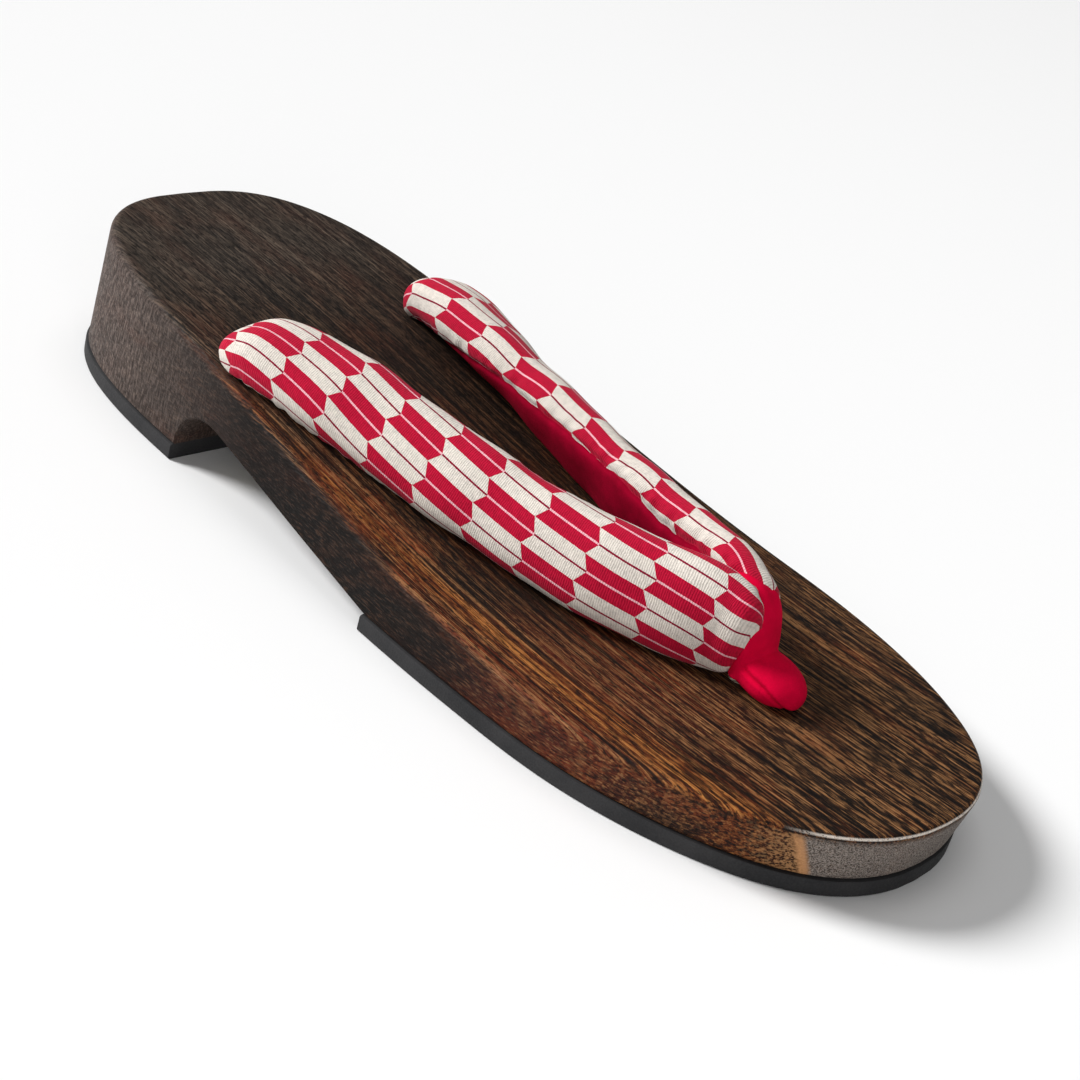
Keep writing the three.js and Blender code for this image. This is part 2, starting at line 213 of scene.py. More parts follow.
def closed_tube(points):
    """Points and faces of a grid of rings, closed by the middle of its first and last ring."""
    tips = points[[0, -1]].mean(axis=1)
    return np.concatenate([points.reshape(-1, 3), tips]), capped(*points.shape[:2])


def tidy(piece, distance=1e-6):
    """Merges doubled points, drops what collapsed and turns all faces outwards."""
    shape = bmesh.new()
    shape.from_mesh(piece.data)
    bmesh.ops.remove_doubles(shape, verts=shape.verts, dist=distance)
    bmesh.ops.dissolve_degenerate(shape, edges=shape.edges, dist=distance)
    bmesh.ops.recalc_face_normals(shape, faces=shape.faces)
    shape.to_mesh(piece.data)
    shape.free()


# %% [markdown]
# ## Materials: how the node trees are wired
# Every finish here is worked out from a place on the piece: Object coordinates for the solid
# wood and rubber, and a UV map in millimetres for cloth that follows the strap. A small helper
# adds a node, sets its values and links its inputs, so that a recipe reads from top to bottom.

# %% A helper that writes a node tree as a recipe


class Recipe:
    """A material whose nodes are added one by one, each linked as it is made."""

    def __init__(self, name, **fixed):
        self.material = bpy.data.materials.new(name)
        self.material.use_nodes = True
        self.tree = self.material.node_tree
        self.shader = self.tree.nodes["Principled BSDF"]
        for socket, value in fixed.items():
            self.shader.inputs[socket.replace("_", " ")].default_value = value

    def node(self, kind, links=None, **settings):
        """Adds a node. links gives its inputs by number or name: a socket or a value."""
        made = self.tree.nodes.new("ShaderNode" + kind)
        for key, value in settings.items():
            setattr(made, key, value)
        for key, value in (links or {}).items():
            if isinstance(value, bpy.types.NodeSocket):
                self.tree.links.new(value, made.inputs[key])
            else:
                made.inputs[key].default_value = value
        return made

    def math(self, operation, *values):
        """One Math node on sockets or numbers."""
        return self.node("Math", dict(enumerate(values)), operation=operation).outputs[0]

    def times(self, share, *others):
        """The product of several shares, each a socket or a number."""
        for other in others:
            share = self.math("MULTIPLY", share, other)
        return share

    def from_value(self, value, middle):
        """Distance of a value from a middle value, always positive."""
        return self.math("ABSOLUTE", self.math("SUBTRACT", value, middle))

    def place(self, scale):
        """Place on the piece in metres, times a scale for each axis."""
        source = self.node("TexCoord").outputs["Object"]
        return self.node("Mapping", {0: source, "Scale": scale}).outputs[0]

    def noise(self, place, scale, detail=4.0, rough=0.55):
        """Noise from 0 to 1 at a place."""
        links = {"Vector": place, "Scale": scale, "Detail": detail, "Roughness": rough}
        return self.node("TexNoise", links).outputs[0]

    def drawn(self, place, scale, detail=3.0, rough=0.6):
        """Noise drawn out along the piece: cells of 1/scale millimetres on each axis."""
        stretched = self.node("Mapping", {0: place, "Scale": scale}).outputs[0]
        return self.noise(stretched, 1.0, detail, rough)

    def ramp(self, value, stops):
        """Colour ramp: stops are (position, colour), with colours such as 4a3428."""
        made = self.node("ValToRGB", {0: value})
        colours = made.color_ramp.elements
        while len(colours) < len(stops):
            colours.new(0.5)
        for element, (position, colour) in zip(colours, stops):
            element.position = position
            element.color = rgba(colour)
        return made.outputs[0]

    def spread(self, value, low, high, to_low=0.0, to_high=1.0):
        """Maps low..high to to_low..to_high, with the ends held."""
        links = {0: value, 1: low, 2: high, 3: to_low, 4: to_high}
        return self.node("MapRange", links, clamp=True).outputs[0]

    def mix(self, share, first, second, blend="MIX"):
        """Mixes two colours by a share."""
        links = {0: share, 6: first, 7: second}
        return self.node("Mix", links, data_type="RGBA", blend_type=blend).outputs[2]

    def coats(self, colour, layers):
        """Lays paints over a colour one after another: layers are (share, paint)."""
        for share, paint in layers:
            colour = self.mix(share, colour, rgba(paint))
        return colour

    def bump(self, height, strength, distance_mm):
        """Turns a height into a bent surface direction."""
        links = {"Height": height, "Strength": strength, "Distance": distance_mm * MM}
        return self.node("Bump", links).outputs[0]

    def finish(self, **links):
        """Links the results to the shader's own inputs."""
        for socket, value in links.items():
            self.tree.links.new(value, self.shader.inputs[socket.replace("_", " ")])
        return self.material


def rgb(text):
    """A screen colour such as 4a3428 as linear red, green and blue."""
    parts = np.array([int(text[i : i + 2], 16) for i in (0, 2, 4)]) / 255
    linear = np.where(parts < 0.04045, parts / 12.92, ((parts + 0.055) / 1.055) ** 2.4)
    return tuple(float(part) for part in linear)


def rgba(text):
    """The same colour with full opacity, for a colour socket."""
    return (*rgb(text), 1.0)


# %% [markdown]
# ## Burned paulownia
# The board is charred and brushed. The char stays in the hard lines and the wire brush takes it
# out of the soft ones, so fine pale lines run along the foot bed. An image could be laid on,
# but it would break at the rim. A solid texture goes through the wood as real grain does: the
# year sheets stand upright along the board and show as long lines from above, the pores are
# short tubes that show as flecks on the walls and as dots on the toe end, and one lighter
# sheet comes up near the left rim as an orange streak.

# %% The wood: its grain
sheet_lean = 0.16
sheet_sway = 7.0


class Grain:
    """The noises of one solid piece of wood, on Object coordinates in millimetres.

    sheet is the distance across the year sheets: x, leaned with height and swayed by noise.
    """

    def __init__(self, wood):
        place = wood.place(TO_MM)
        self.x, self.y, self.z = wood.node("SeparateXYZ", {0: place}).outputs
        sway = wood.noise(wood.place((7, 4, 7)), 1.0, 2.0)
        lean = wood.math("MULTIPLY_ADD", self.z, sheet_lean, self.x)
        swayed = wood.math("MULTIPLY_ADD", sway, sheet_sway, lean)
        self.sheet = wood.math("SUBTRACT", swayed, sheet_sway / 2)
        bent = wood.node("CombineXYZ", {0: self.sheet, 1: self.y, 2: self.z}).outputs[0]
        self.lines = wood.drawn(bent, (1.15, 0.014, 0.05), 3.0, 0.68)
        self.threads = wood.drawn(bent, (3.3, 0.022, 0.12), 2.0, 0.5)
        self.dashes = wood.drawn(bent, (1.5, 0.19, 1.5), 2.0, 0.6)
        self.pores = wood.drawn(bent, (2.3, 0.42, 2.3), 2.0, 0.6)
        self.dust = wood.drawn(bent, (4.2, 1.3, 4.2), 2.0, 0.6)
        self.ripple = wood.drawn(bent, (2.1, 2.1, 0.28), 3.0, 0.6)
        self.blotch = wood.drawn(bent, (0.10, 0.035, 0.14), 4.0, 0.62)
        self.wall = wood.node("Attribute", attribute_name="wall").outputs["Fac"]
        self.rim = wood.node("Attribute", attribute_name="rim").outputs["Fac"]
        self.toe = wood.spread(self.y, -60, -105)
        self.heel = wood.spread(self.y, 5, 85)

    def on_foot_bed(self, wood, low, high):
        """A share that is high on the foot bed and low on the walls."""
        return wood.spread(self.wall, 0.2, 1.0, high, low)


# %% The wood: its colours
streak_x = -36.9
toe_slant = 0.45
toe_line_x = -22.3


def streak_share(wood, grain):
    """1 in the orange streak and 0 outside it.

    The streak is a sheet left of the middle. Its reach to each side grows from 1.5 mm at the
    heel to 6 mm at the toe, and past the arch it moves inward; the pores fray its edges. On
    the wall it shows at the toe only.
    """
    fray = wood.math("SUBTRACT", grain.pores, 0.5)
    fray = wood.times(fray, wood.spread(grain.y, -60, 25, 9.0, 3.0))
    place = wood.math("SUBTRACT", wood.math("ADD", grain.sheet, fray), streak_x)
    reach = wood.spread(grain.y, -95, 0, 6.0, 1.5)
    centre = wood.spread(grain.y, -110, -20, 5.5, 0.2)
    off = wood.math("DIVIDE", wood.from_value(place, centre), reach)
    at_toe = wood.spread(grain.y, -88, -104)
    seen = wood.math("MAXIMUM", grain.on_foot_bed(wood, 0.0, 1.0), at_toe)
    return wood.times(wood.spread(off, 0.35, 1.35, 1.0, 0.0), seen)


def toe_end_colour(wood, grain, colour):
    """The end grain on the toe: a grey ripple right of a slanted pale line, and tan spots
    left of it."""
    end = wood.times(wood.spread(grain.wall, 0.60, 0.95), wood.spread(grain.y, -99, -108))
    slant = wood.math("MULTIPLY_ADD", grain.z, toe_slant, grain.x)
    ripple = wood.spread(grain.dust, 0.40, 0.60)
    grey = wood.mix(ripple, rgba("3c3531"), rgba("968c84"))
    right = wood.times(end, wood.spread(slant, -22.6, -21.4, 0.0, 0.85))
    colour = wood.mix(right, colour, grey)
    spots = wood.mix(wood.spread(grain.pores, 0.42, 0.56), rgba("2c1a10"), rgba("a87c52"))
    left = wood.times(end, wood.spread(slant, -21.6, -22.6, 0.0, 0.75))
    colour = wood.mix(wood.times(left, wood.spread(slant, -35, -30)), colour, spots)
    near_line = wood.spread(wood.from_value(slant, toe_line_x), 0.35, 1.1, 0.7, 0.0)
    return wood.mix(wood.times(end, near_line), colour, rgba("c08c5e"))


def ground_colour(wood, grain, streak, char_and_strap_shade):
    """The charred ground: red-brown blotches, grey at the heel, warm on the near side of the
    forefoot, dark at the toe and on the far side, and black in the waist: real char there
    with painted shade of the strap over it."""
    forefoot = wood.times(wood.spread(grain.y, -92, -68), wood.spread(grain.y, -28, -48))
    warm = wood.times(forefoot, wood.spread(grain.sheet, 2, -14, 0.0, 0.6))
    layers = [
        (wood.times(grain.heel, 0.85), "352f2a"),
        (warm, "6a2813"),
        (wood.times(grain.toe, 0.55), "20120c"),
        (wood.spread(grain.sheet, 2, 40, 0.0, 0.45), "1c1512"),
        (char_and_strap_shade, "080504"),
        (wood.times(streak, 0.85), "663014"),
    ]
    stops = [(0.38, "160e0b"), (0.47, "2e1a13"), (0.55, "502612"), (0.66, "743215")]
    return wood.coats(wood.ramp(grain.blotch, stops), layers)


def brushed_shares(wood, grain):
    """Where the brush has taken the char out: long lines, threads, pores and short dashes.

    Each row is a noise's share, its strength on walls and foot bed, at the heel and at the toe.
    """
    shares = [
        (wood.spread(grain.lines, 0.55, 0.61), (0.12, 0.56), 0.38, 0.55),
        (wood.spread(grain.threads, 0.55, 0.60), (0.10, 0.74), 0.48, 1.00),
        (wood.spread(grain.pores, 0.56, 0.63), (0.52, 0.20), 0.55, 0.80),
        (wood.spread(grain.dashes, 0.55, 0.61), (0.10, 0.22), 0.60, 1.50),
    ]
    for share, wall_and_bed, at_heel, at_toe in shares:
        by_side = grain.on_foot_bed(wood, *wall_and_bed)
        by_heel = wood.spread(grain.heel, 0, 1, 1.0, at_heel)
        by_toe = wood.spread(grain.toe, 0, 1, 1.0, at_toe)
        yield wood.times(share, by_side, by_heel, by_toe)


def dark_layers(wood, grain):
    """Layers of dark gaps and pits, and on the heel's wall a grey wash of painted sheen with
    upright grain crests and troughs; and the share of that upright ripple."""
    gaps = wood.spread(grain.lines, 0.40, 0.49, 0.90, 0.0)
    away_from_heel = wood.spread(grain.heel, 0.3, 1.0, 1.0, 0.35)
    gaps = wood.times(gaps, grain.on_foot_bed(wood, 0.2, 1.0), away_from_heel)
    pits = wood.spread(grain.dashes, 0.42, 0.50, 0.92, 0.0)
    upright = wood.times(grain.wall, wood.spread(grain.heel, 0.45, 1.0))
    return [
        (gaps, "0e0a08"),
        (wood.spread(grain.pores, 0.37, 0.45, 0.80, 0.0), "0e0a08"),
        (wood.times(pits, wood.spread(grain.toe, 0, 1, 0.45, 1.0)), "0c0806"),
        # Painted sheen: a grey wash on the heel's wall stands in for a grazing reflection.
        (wood.times(grain.wall, wood.spread(grain.heel, 0.35, 1.0, 0.0, 0.45)), "5d504b"),
        (wood.times(upright, wood.spread(grain.ripple, 0.50, 0.62, 0.0, 0.36)), "8c7c74"),
        (wood.times(upright, wood.spread(grain.ripple, 0.38, 0.50, 0.62, 0.0)), "1c1513"),
    ], upright


def worn_rim(wood, grain):
    """Where the rim round the toe is worn to pale bare wood, broken up by dust."""
    at_toe = wood.times(wood.spread(grain.y, -98, -106), wood.spread(grain.x, -30, -24))
    broken = wood.spread(grain.dust, 0.32, 0.46)
    return wood.times(wood.spread(grain.rim, 0.45, 0.90), at_toe, broken)


def burned_wood():
    """Charred ground, pale brushed lines and flecks, dark gaps, the orange streak, and black in
    the waist: real char with painted shade of the strap.
    """
    wood = Recipe("burned paulownia", Specular_IOR_Level=0.12)
    grain = Grain(wood)
    streak = streak_share(wood, grain)
    # Painted shade and char: in the waist the walls and a band of the foot bed along the near
    # strap turn black. This is partly real char and partly painted shade of the strap.
    waist = wood.times(wood.spread(grain.y, -75, -30), wood.spread(grain.y, 85, 45))
    middle = wood.times(wood.spread(grain.sheet, -33, -22, 0.0, 0.72), waist)
    char_and_strap_shade = wood.times(waist, wood.spread(grain.wall, 0.05, 0.5, 0.0, 0.92))
    char_and_strap_shade = wood.math("MAXIMUM", char_and_strap_shade, middle)
    pale = wood.mix(grain.heel, rgba("a07248"), rgba("7b6b5c"))
    pale = wood.coats(pale, [(char_and_strap_shade, "382219"), (streak, "b87a3e")])
    colour = ground_colour(wood, grain, streak, char_and_strap_shade)
    for share in brushed_shares(wood, grain):
        colour = wood.mix(share, colour, pale)
    layers, upright = dark_layers(wood, grain)
    colour = toe_end_colour(wood, grain, wood.coats(colour, layers))
    colour = wood.coats(colour, [(worn_rim(wood, grain), "e4d9ce")])
    height = wood.math("ADD", wood.times(grain.lines, 0.8), grain.pores)
    height = wood.math("MULTIPLY_ADD", grain.dust, 0.4, height)
    height = wood.math("MULTIPLY_ADD", grain.ripple, upright, height)
    rough = wood.spread(grain.pores, 0.35, 0.65, 0.72, 0.48)
    normal = wood.bump(height, 0.6, 0.40)
    return wood.finish(Base_Color=colour, Roughness=rough, Normal=normal)


wood_material = burned_wood()

# %% [markdown]
# ## The board
# The outline is a curve in plan, and each level of the wall is that outline moved in or out
# along its normal: out under the heel, in under the toe, and round a quarter circle at the top
# rim. Inside the rim a flat grid closes the foot bed, and another closes the underside.

# %% The board's surface


def stations(low, high, count):
    """Distances from the heel end, packed closer toward both rounded ends of the board."""
    turn = np.linspace(0, np.pi, count)
    even = (1 - np.cos(turn)) / 2
    packed = board_length * (0.5 * even + 0.5 * (1 - np.cos(np.pi * even)) / 2)
    inside = packed[(packed > low + 0.2) & (packed < high - 0.2)]
    places = [low, *inside, high]
    for edge in (heel_block_length, heel_block_length + 0.3, arch_end):
        if low + 1 < edge < high - 1:
            places.append(edge)
    return np.unique(np.array(places))


def outline(from_heel):
    """Half outline and its outward normal at distances from the heel end, as arrays."""
    nudge = 0.004
    ahead = half_width(np.minimum(from_heel + nudge, board_length))
    behind = half_width(np.maximum(from_heel - nudge, 0))
    slope = (ahead - behind) / (2 * nudge)
    normal = np.stack([np.ones_like(slope), slope], axis=-1)
    normal /= np.linalg.norm(normal, axis=1)[:, None]
    normal[from_heel <= 0] = (0, 1)
    normal[from_heel >= board_length] = (0, -1)
    return np.stack([half_width(from_heel), heel_end - from_heel], axis=-1), normal


def plate(name, low, high, levels, material, count=260, across=28):
    """A closed body under the board's outline.

    levels is a list of (offset, height) functions of y, from the lowest ring to the highest.
    A ring is the outline moved by the offset along its normal; its mirror image closes it.
    The first and last ring are closed by grids of straight lines from side to side.
    """
    edge, normal = outline(stations(low, high, count))
    rings = []
    for offset, height in levels:
        moved = edge + normal * offset(edge[:, 1])[:, None]
        moved[:, 0] = np.maximum(moved[:, 0], 0)
        right = np.column_stack([moved, height(moved[:, 1])])
        left = right * (-1, 1, 1)
        rings.append(np.concatenate([right, left[::-1]]))
    rings = np.array(rings)
    points = [rings.reshape(-1, 3)]
    faces = [grid_faces(len(rings), rings.shape[1], wrap=True)]
    share = np.linspace(0, 1, across)[:, None, None]
    for ring in (rings[0], rings[-1]):
        right, left = ring[: len(edge)], ring[len(edge) :][::-1]
        cap = right * (1 - share) + left * share
        faces.append(grid_faces(across, len(edge), wrap=False) + sum(map(len, points)))
        points.append(cap.reshape(-1, 3))
    piece = make(name, np.concatenate(points), np.concatenate(faces), material)
    tidy(piece)
    return piece


def wall_offset(y):
    """Outward lean of the wall's foot: out at the heel, in at the toe."""
    share = (heel_end - y) / board_length
    return heel_flare - (heel_flare + toe_tuck) * share


def rim_radius(y):
    """Radius of the worn top rim: crisper at the toe than at the waist and heel."""
    share = (heel_end - y) / board_length
    return 1.0 + 1.1 * np.clip((1 - share) / 0.35, 0, 1) ** 0.7


def board_levels():
    """Rings from the foot of the wall to the foot bed inside the rim."""
    foot = 0.5
    levels = [
        (lambda y: wall_offset(y) - foot, underside),
        (wall_offset, lambda y: underside(y) + foot),
    ]
    for share in np.linspace(0.15, 0.85, 5):
        levels.append(
            (
                lambda y, s=share: wall_offset(y) * (1 - s),
                lambda y, s=share: underside(y) * (1 - s) + (foot_bed(y) - rim_radius(y)) * s,
            )
        )
    for turn in np.linspace(0, np.pi / 2, 9):
        levels.append(
            (
                lambda y, t=turn: rim_radius(y) * (np.cos(t) - 1),
                lambda y, t=turn: foot_bed(y) - rim_radius(y) * (1 - np.sin(t)),
            )
        )
    levels.append((lambda y: -rim_radius(y) - 1.0, foot_bed))
    return levels


board = plate("board_wood", 0, board_length, board_levels(), wood_material)
print("board faces:", len(board.data.polygons))

# %% [markdown]
# ## The recess under the front hole
# The thong's knot sits in a round recess, so that it can't touch the ground. A boolean cuts
# it into the board and through the tread, and is applied at once, so the mesh stays plain.

# %% Cut the recess
recess_diameter = 20.0
recess_depth = 5.0


def apply_modifiers(piece):
    """Puts what the modifiers make into the mesh, and takes them off."""
    shape = piece.evaluated_get(bpy.context.evaluated_depsgraph_get())
    result = bpy.data.meshes.new_from_object(shape)
    piece.modifiers.clear()
    piece.data = result


def cut_by(piece, cutter):
    """Takes one closed body away from another."""
    cut = piece.modifiers.new("cut", "BOOLEAN")
    cut.operation, cut.solver, cut.object = "DIFFERENCE", "EXACT", cutter
    apply_modifiers(piece)


def cut_round(piece, diameter, low, high, x, y):
    """Cuts a round upright hole into a piece, all sizes in millimetres."""
    turn = np.linspace(0, 2 * np.pi, 48, endpoint=False)
    ring = np.column_stack([x + np.cos(turn) * diameter / 2, y + np.sin(turn) * diameter / 2])
    walls = [np.column_stack([ring, np.full(len(ring), z)]) for z in (low, high)]
    cutter = make("cutter", *closed_tube(np.array(walls)), piece.data.materials[0])
    cut_by(piece, cutter)
    bpy.data.objects.remove(cutter)


def crisp(piece, degrees=38):
    """Keeps edges sharp where two faces meet at more than an angle."""
    piece.data.set_sharp_from_angle(angle=np.radians(degrees))


recess_top = tread_thickness + recess_depth
cut_round(board, recess_diameter, -1, recess_top, 0, front_hole_y)
crisp(board)


wall_from, wall_full = 0.2, 1.6
worn_below, worn_reach = 0.55, 0.32


def mark_walls(piece):
    """Writes two shares at each point for the wood: wall, from 0 on the foot bed to 1 once
    1.6 mm below it, and rim, a narrow bell 0.55 mm below the foot bed."""
    mesh = piece.data
    points = np.empty(len(mesh.vertices) * 3)
    mesh.vertices.foreach_get("co", points)
    _, y, z = points.reshape(-1, 3).T / MM
    below = foot_bed(y) - z
    wall = np.clip((below - wall_from) / (wall_full - wall_from), 0, 1)
    rim = np.exp(-(((below - worn_below) / worn_reach) ** 2))
    for name, share in (("wall", wall), ("rim", rim)):
        layer = mesh.attributes.new(name, "FLOAT", "POINT")
        layer.data.foreach_set("value", share.astype(np.float32))
    return int((wall > 0.5).sum())


print("points on the walls:", mark_walls(board))
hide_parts("board")
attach(board, "root")
print("board faces with its recess:", len(board.data.polygons))

# %% [markdown]
# ## Rubber treads
# Each tread is a flat sheet of dark foam rubber, cut to the board's outline and glued on, a
# little proud of the wood. It is dull, with a very fine skin texture, so a little noise in
# roughness and bump is enough.

# %% The treads


def tread_rubber():
    """Dull dark rubber with a fine skin."""
    rubber = Recipe("tread rubber", Specular_IOR_Level=0.35)
    place = rubber.place(TO_MM)
    skin = rubber.noise(place, 2.6, 3.0)
    worn = rubber.noise(place, 0.08, 3.0)
    colour = rubber.ramp(worn, [(0.35, "1c1c1e"), (0.7, "2d2c2d")])
    rough = rubber.spread(skin, 0.3, 0.7, 0.62, 0.86)
    normal = rubber.bump(skin, 0.4, 0.12)
    return rubber.finish(Base_Color=colour, Roughness=rough, Normal=normal)


rubber_material = tread_rubber()
tread_edge = 0.5
tread_round = 0.15


def tread(name, low, high):
    """A rubber sheet with softened edges, from the ground to the wood."""

    def proud(y):
        return wall_offset(y) + tread_proud

    def inner(y):
        return proud(y) - tread_edge

    def level(height):
        return lambda y: np.full_like(y, height)

    levels = [
        (inner, level(0.0)),
        (lambda y: proud(y) - tread_round, level(tread_round)),
        (proud, level(tread_edge)),
        (proud, level(tread_thickness - tread_edge)),
        (lambda y: proud(y) - tread_round, level(tread_thickness - tread_round)),
        (inner, level(tread_thickness)),
    ]
    return plate(name, low, high, levels, rubber_material, count=160, across=2)


heel_tread = tread("heel_tread_rubber", 0, heel_block_length)
forefoot_tread = tread("forefoot_tread_rubber", arch_end, board_length)
cut_round(forefoot_tread, recess_diameter, -1, tread_thickness + 1, 0, front_hole_y)
for piece, node in ((heel_tread, "heel_tread"), (forefoot_tread, "forefoot_tread")):
    crisp(piece)
    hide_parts(node)
    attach(piece, "root")
    print(piece.name, "faces:", len(piece.data.polygons))

# %% [markdown]
# ## The padded strap: its form
# The strap is a stuffed tube. Patterned cloth covers its outer face, and crimson velvet lines
# the side toward the foot; the two are sewn together along both edges. It could be a curve with
# a bevelled profile, but a bevel keeps one section from end to end. So each half is worked out
# as a padded section carried along a curve from its root behind the rear hole to the join,
# leaning over from flat to standing on edge. The halves are laced by hand, so one stands 2 or
# 3 mm ahead of the other.

# %% Sections of the strap
clear_of_bed = 0.3
join_from_toe = 56.0
join_rise = 11.5
strap_width = 19.0
strap_thickness = 12.6
strap_skew = 3.0
strap_skew_at_join = 1.0
strap_drift = -2.0
join_y = toe_end + join_from_toe
along_at = [-0.099, -0.089, -0.067, -0.017, 0.135, 0.34, 0.59, 0.8, 0.915, 0.988, 1.034, 1.054]
spread = [1.04, 1.038, 1.03, 0.99, 0.87, 0.74, 0.57, 0.40, 0.245, 0.135, 0.125, 0.125]
lift = [0.02, 0.10, 0.23, 0.44, 0.62, 0.70, 0.78, 0.87, 0.94, 0.92, 0.90, 0.88]
lean = [2, 3, 5, 12, 27, 47, 63, 72, 82, 88, 90, 90]
width = [0.26, 0.62, 0.90, 1.03, 1.06, 1.03, 1.02, 1.08, 1.13, 1.06, 0.86, 0.44]
thick = [0.30, 0.56, 0.82, 1.00, 1.04, 1.03, 1.00, 0.97, 0.93, 0.88, 0.68, 0.34]


def unit(vectors):
    """Vectors of length one."""
    return vectors / np.linalg.norm(vectors, axis=-1, keepdims=True)


def strap_centre(along, side):
    """Centre line of one half, from along = 0 at the rear hole to 1 at the join.

    Sideways it is the table's spread plus the drift of the roots, lengthways a straight run
    with the half's own skew, and upwards the foot bed plus the table's lift.
    """
    run = np.clip(along, 0, 1)
    skew = strap_skew * (1 - run) + strap_skew_at_join * run
    straight = rear_hole_y + (join_y - rear_hole_y) * along
    y = straight + side * skew
    x = side * curve(along_at, spread, along) * hole_x + strap_drift * (1 - along)
    z = foot_bed(y) + curve(along_at, lift, along) * join_rise
    return np.stack([x, y, z], axis=-1)


def strap_frame(along, side):
    """Centre, and the directions across the strap and out of its face, at each section.

    The sideways and upward directions square to the centre line are turned together by the
    lean: cos(lean) sideways - sin(lean) up lies across the strap.
    """
    tangent = unit(strap_centre(along + 0.01, side) - strap_centre(along - 0.01, side))
    up = unit(np.array([0, 0, 1.0]) - tangent[:, 2:] * tangent)
    out = np.cross(tangent, up)
    out *= np.sign(out[:, :1]) * side
    turn = np.radians(curve(along_at, lean, along))[:, None]
    across = np.cos(turn) * out - np.sin(turn) * up
    outward = np.sin(turn) * out + np.cos(turn) * up
    return strap_centre(along, side), across, outward


print("strap length from root to join, mm:", round(float(rear_hole_y - join_y), 1))

# %% [markdown]
# ## The padded strap: seams and puckers
# Two things tell the eye that this is sewn and stuffed: the cloth is pulled in along the seam,
# and it puckers beside it. A cloth simulation could swell the tube, but it would lose the seam
# and slide the pattern, so both are written as small changes of the section's radius, smooth
# bumps of the angle around the section. The grid's columns lie along the two seams, so each
# cloth has its own faces, with a clean line between them.

# %% Seams, and the hand's unevenness
cover_steps = 60
lining_steps = 20
seam_at = [-0.10, 0.05, 0.20, 0.60, 0.72, 0.85, 1.06]
seam_top = [262, 246, 221, 215, 228, 236, 236]
seam_low = -34
seam_depth = 0.60
seam_reach = 0.10
pucker_depth = 0.24


def wobble(distance, waves, seed):
    """Smooth hand-made unevenness: a sum of sines, each given as (length, height)."""
    start = np.random.default_rng(seed).uniform(0, 2 * np.pi, len(waves))
    sines = [h * np.sin(2 * np.pi * distance / l + s) for (l, h), s in zip(waves, start)]
    return np.sum(sines, axis=0)


def seam_angles(along, distance, side):
    """Angles of the lower and upper seam around each section, with a slight waver."""
    waver = np.radians(wobble(distance, [(23, 1.5), (9.5, 1.0), (5.1, 0.8)], seed=4 + side))
    top = np.radians(curve(seam_at, seam_top, along)) + waver
    return np.radians(seam_low) + 0.6 * waver, top


def swell(turn, low, top, distance, along, side):
    """Change of radius, in millimetres, at each angle around each section.

    A dip exp(-(angle / reach)^2) at each seam, puckers beside the seams that grow toward the
    join, and a slow unevenness of the stuffing.
    """

    def near(angle, reach):
        return np.exp(-((((turn - angle[:, None] + np.pi) % (2 * np.pi) - np.pi) / reach) ** 2))

    beside = near(top - 0.30, 0.26) + near(low + 0.26, 0.24)
    pucker = wobble(distance, [(4.6, 0.6), (6.3, 0.4), (3.1, 0.35)], seed=11 + side)
    pucker = (pucker * (0.8 + 0.9 * np.clip(along, 0, 1) ** 3))[:, None]
    soft = wobble(distance[:, None] + 3 * np.cos(turn), [(31, 0.16), (17, 0.12)], seed=21 + side)
    return soft + pucker_depth * pucker * beside - seam_depth * (
        near(low, seam_reach) + near(top, seam_reach)
    )


# %% One half of the strap as a grid
padded_power = 0.8
lining_flatness = 0.86


def bulge(value, power=padded_power):
    """Fills out a sine or cosine, so that a circle becomes a padded, squarer section."""
    return np.sign(value) * np.abs(value) ** power


def strap_surface(side, rows=250):
    """Points and cloth places of one half, as (rows, columns) arrays.

    Around the section a point is centre + a bulge(cos) across + b bulge(sin) outward, where a
    and b are the half width and half thickness plus the swell. The cloth's place is the length
    along the centre line, and the length around from the middle of the face, spread where the
    section narrows, because the columns gather toward both ends.
    """
    t = np.linspace(0, 1, rows)
    t = t - 0.55 * np.sin(2 * np.pi * t) / (2 * np.pi)
    along = along_at[0] + (along_at[-1] - along_at[0]) * t
    centre, across, outward = strap_frame(along, side)
    steps = np.linalg.norm(np.diff(centre, axis=0), axis=1)
    distance = np.concatenate([[0], np.cumsum(steps)])
    low, top = seam_angles(along, distance, side)
    cover = low + (top - low) * np.linspace(0, 1, cover_steps, endpoint=False)[:, None]
    rest = low + 2 * np.pi - top
    lining = top + rest * np.linspace(0, 1, lining_steps, endpoint=False)[:, None]
    turn = np.concatenate([cover, lining]).T
    narrow = np.minimum(curve(along_at, width, along), 1)[:, None]
    radius = swell(turn, low, top, distance, along, side) * narrow
    half_a = (curve(along_at, width, along) * strap_width / 2)[:, None] + radius
    half_b = (curve(along_at, thick, along) * strap_thickness / 2)[:, None] + radius
    half_b = half_b * np.where(np.sin(turn) < 0, lining_flatness, 1)
    sideways = half_a * bulge(np.cos(turn))
    points = (
        centre[:, None]
        + sideways[..., None] * across[:, None]
        + (half_b * bulge(np.sin(turn)))[..., None] * outward[:, None]
    )
    points[..., 2] = np.maximum(points[..., 2], foot_bed(points[..., 1]) + clear_of_bed)
    around = np.cumsum(np.linalg.norm(np.diff(points, axis=1), axis=2), axis=1)
    around = np.concatenate([np.zeros((rows, 1)), around], axis=1)
    before = ((np.pi / 2 - low) / (top - low) * cover_steps).astype(int)[:, None]
    behind, ahead = (np.take_along_axis(sideways, before + step, axis=1) for step in (0, 1))
    first, second = (np.take_along_axis(around, before + step, axis=1) for step in (0, 1))
    around = around - first - (second - first) * behind / (behind - ahead)
    gather = np.where(along[:, None] < 0.5, narrow**0.6, 1)
    length = np.broadcast_to(distance[:, None], around.shape)
    return points, np.stack([length, side * around / gather], axis=-1)


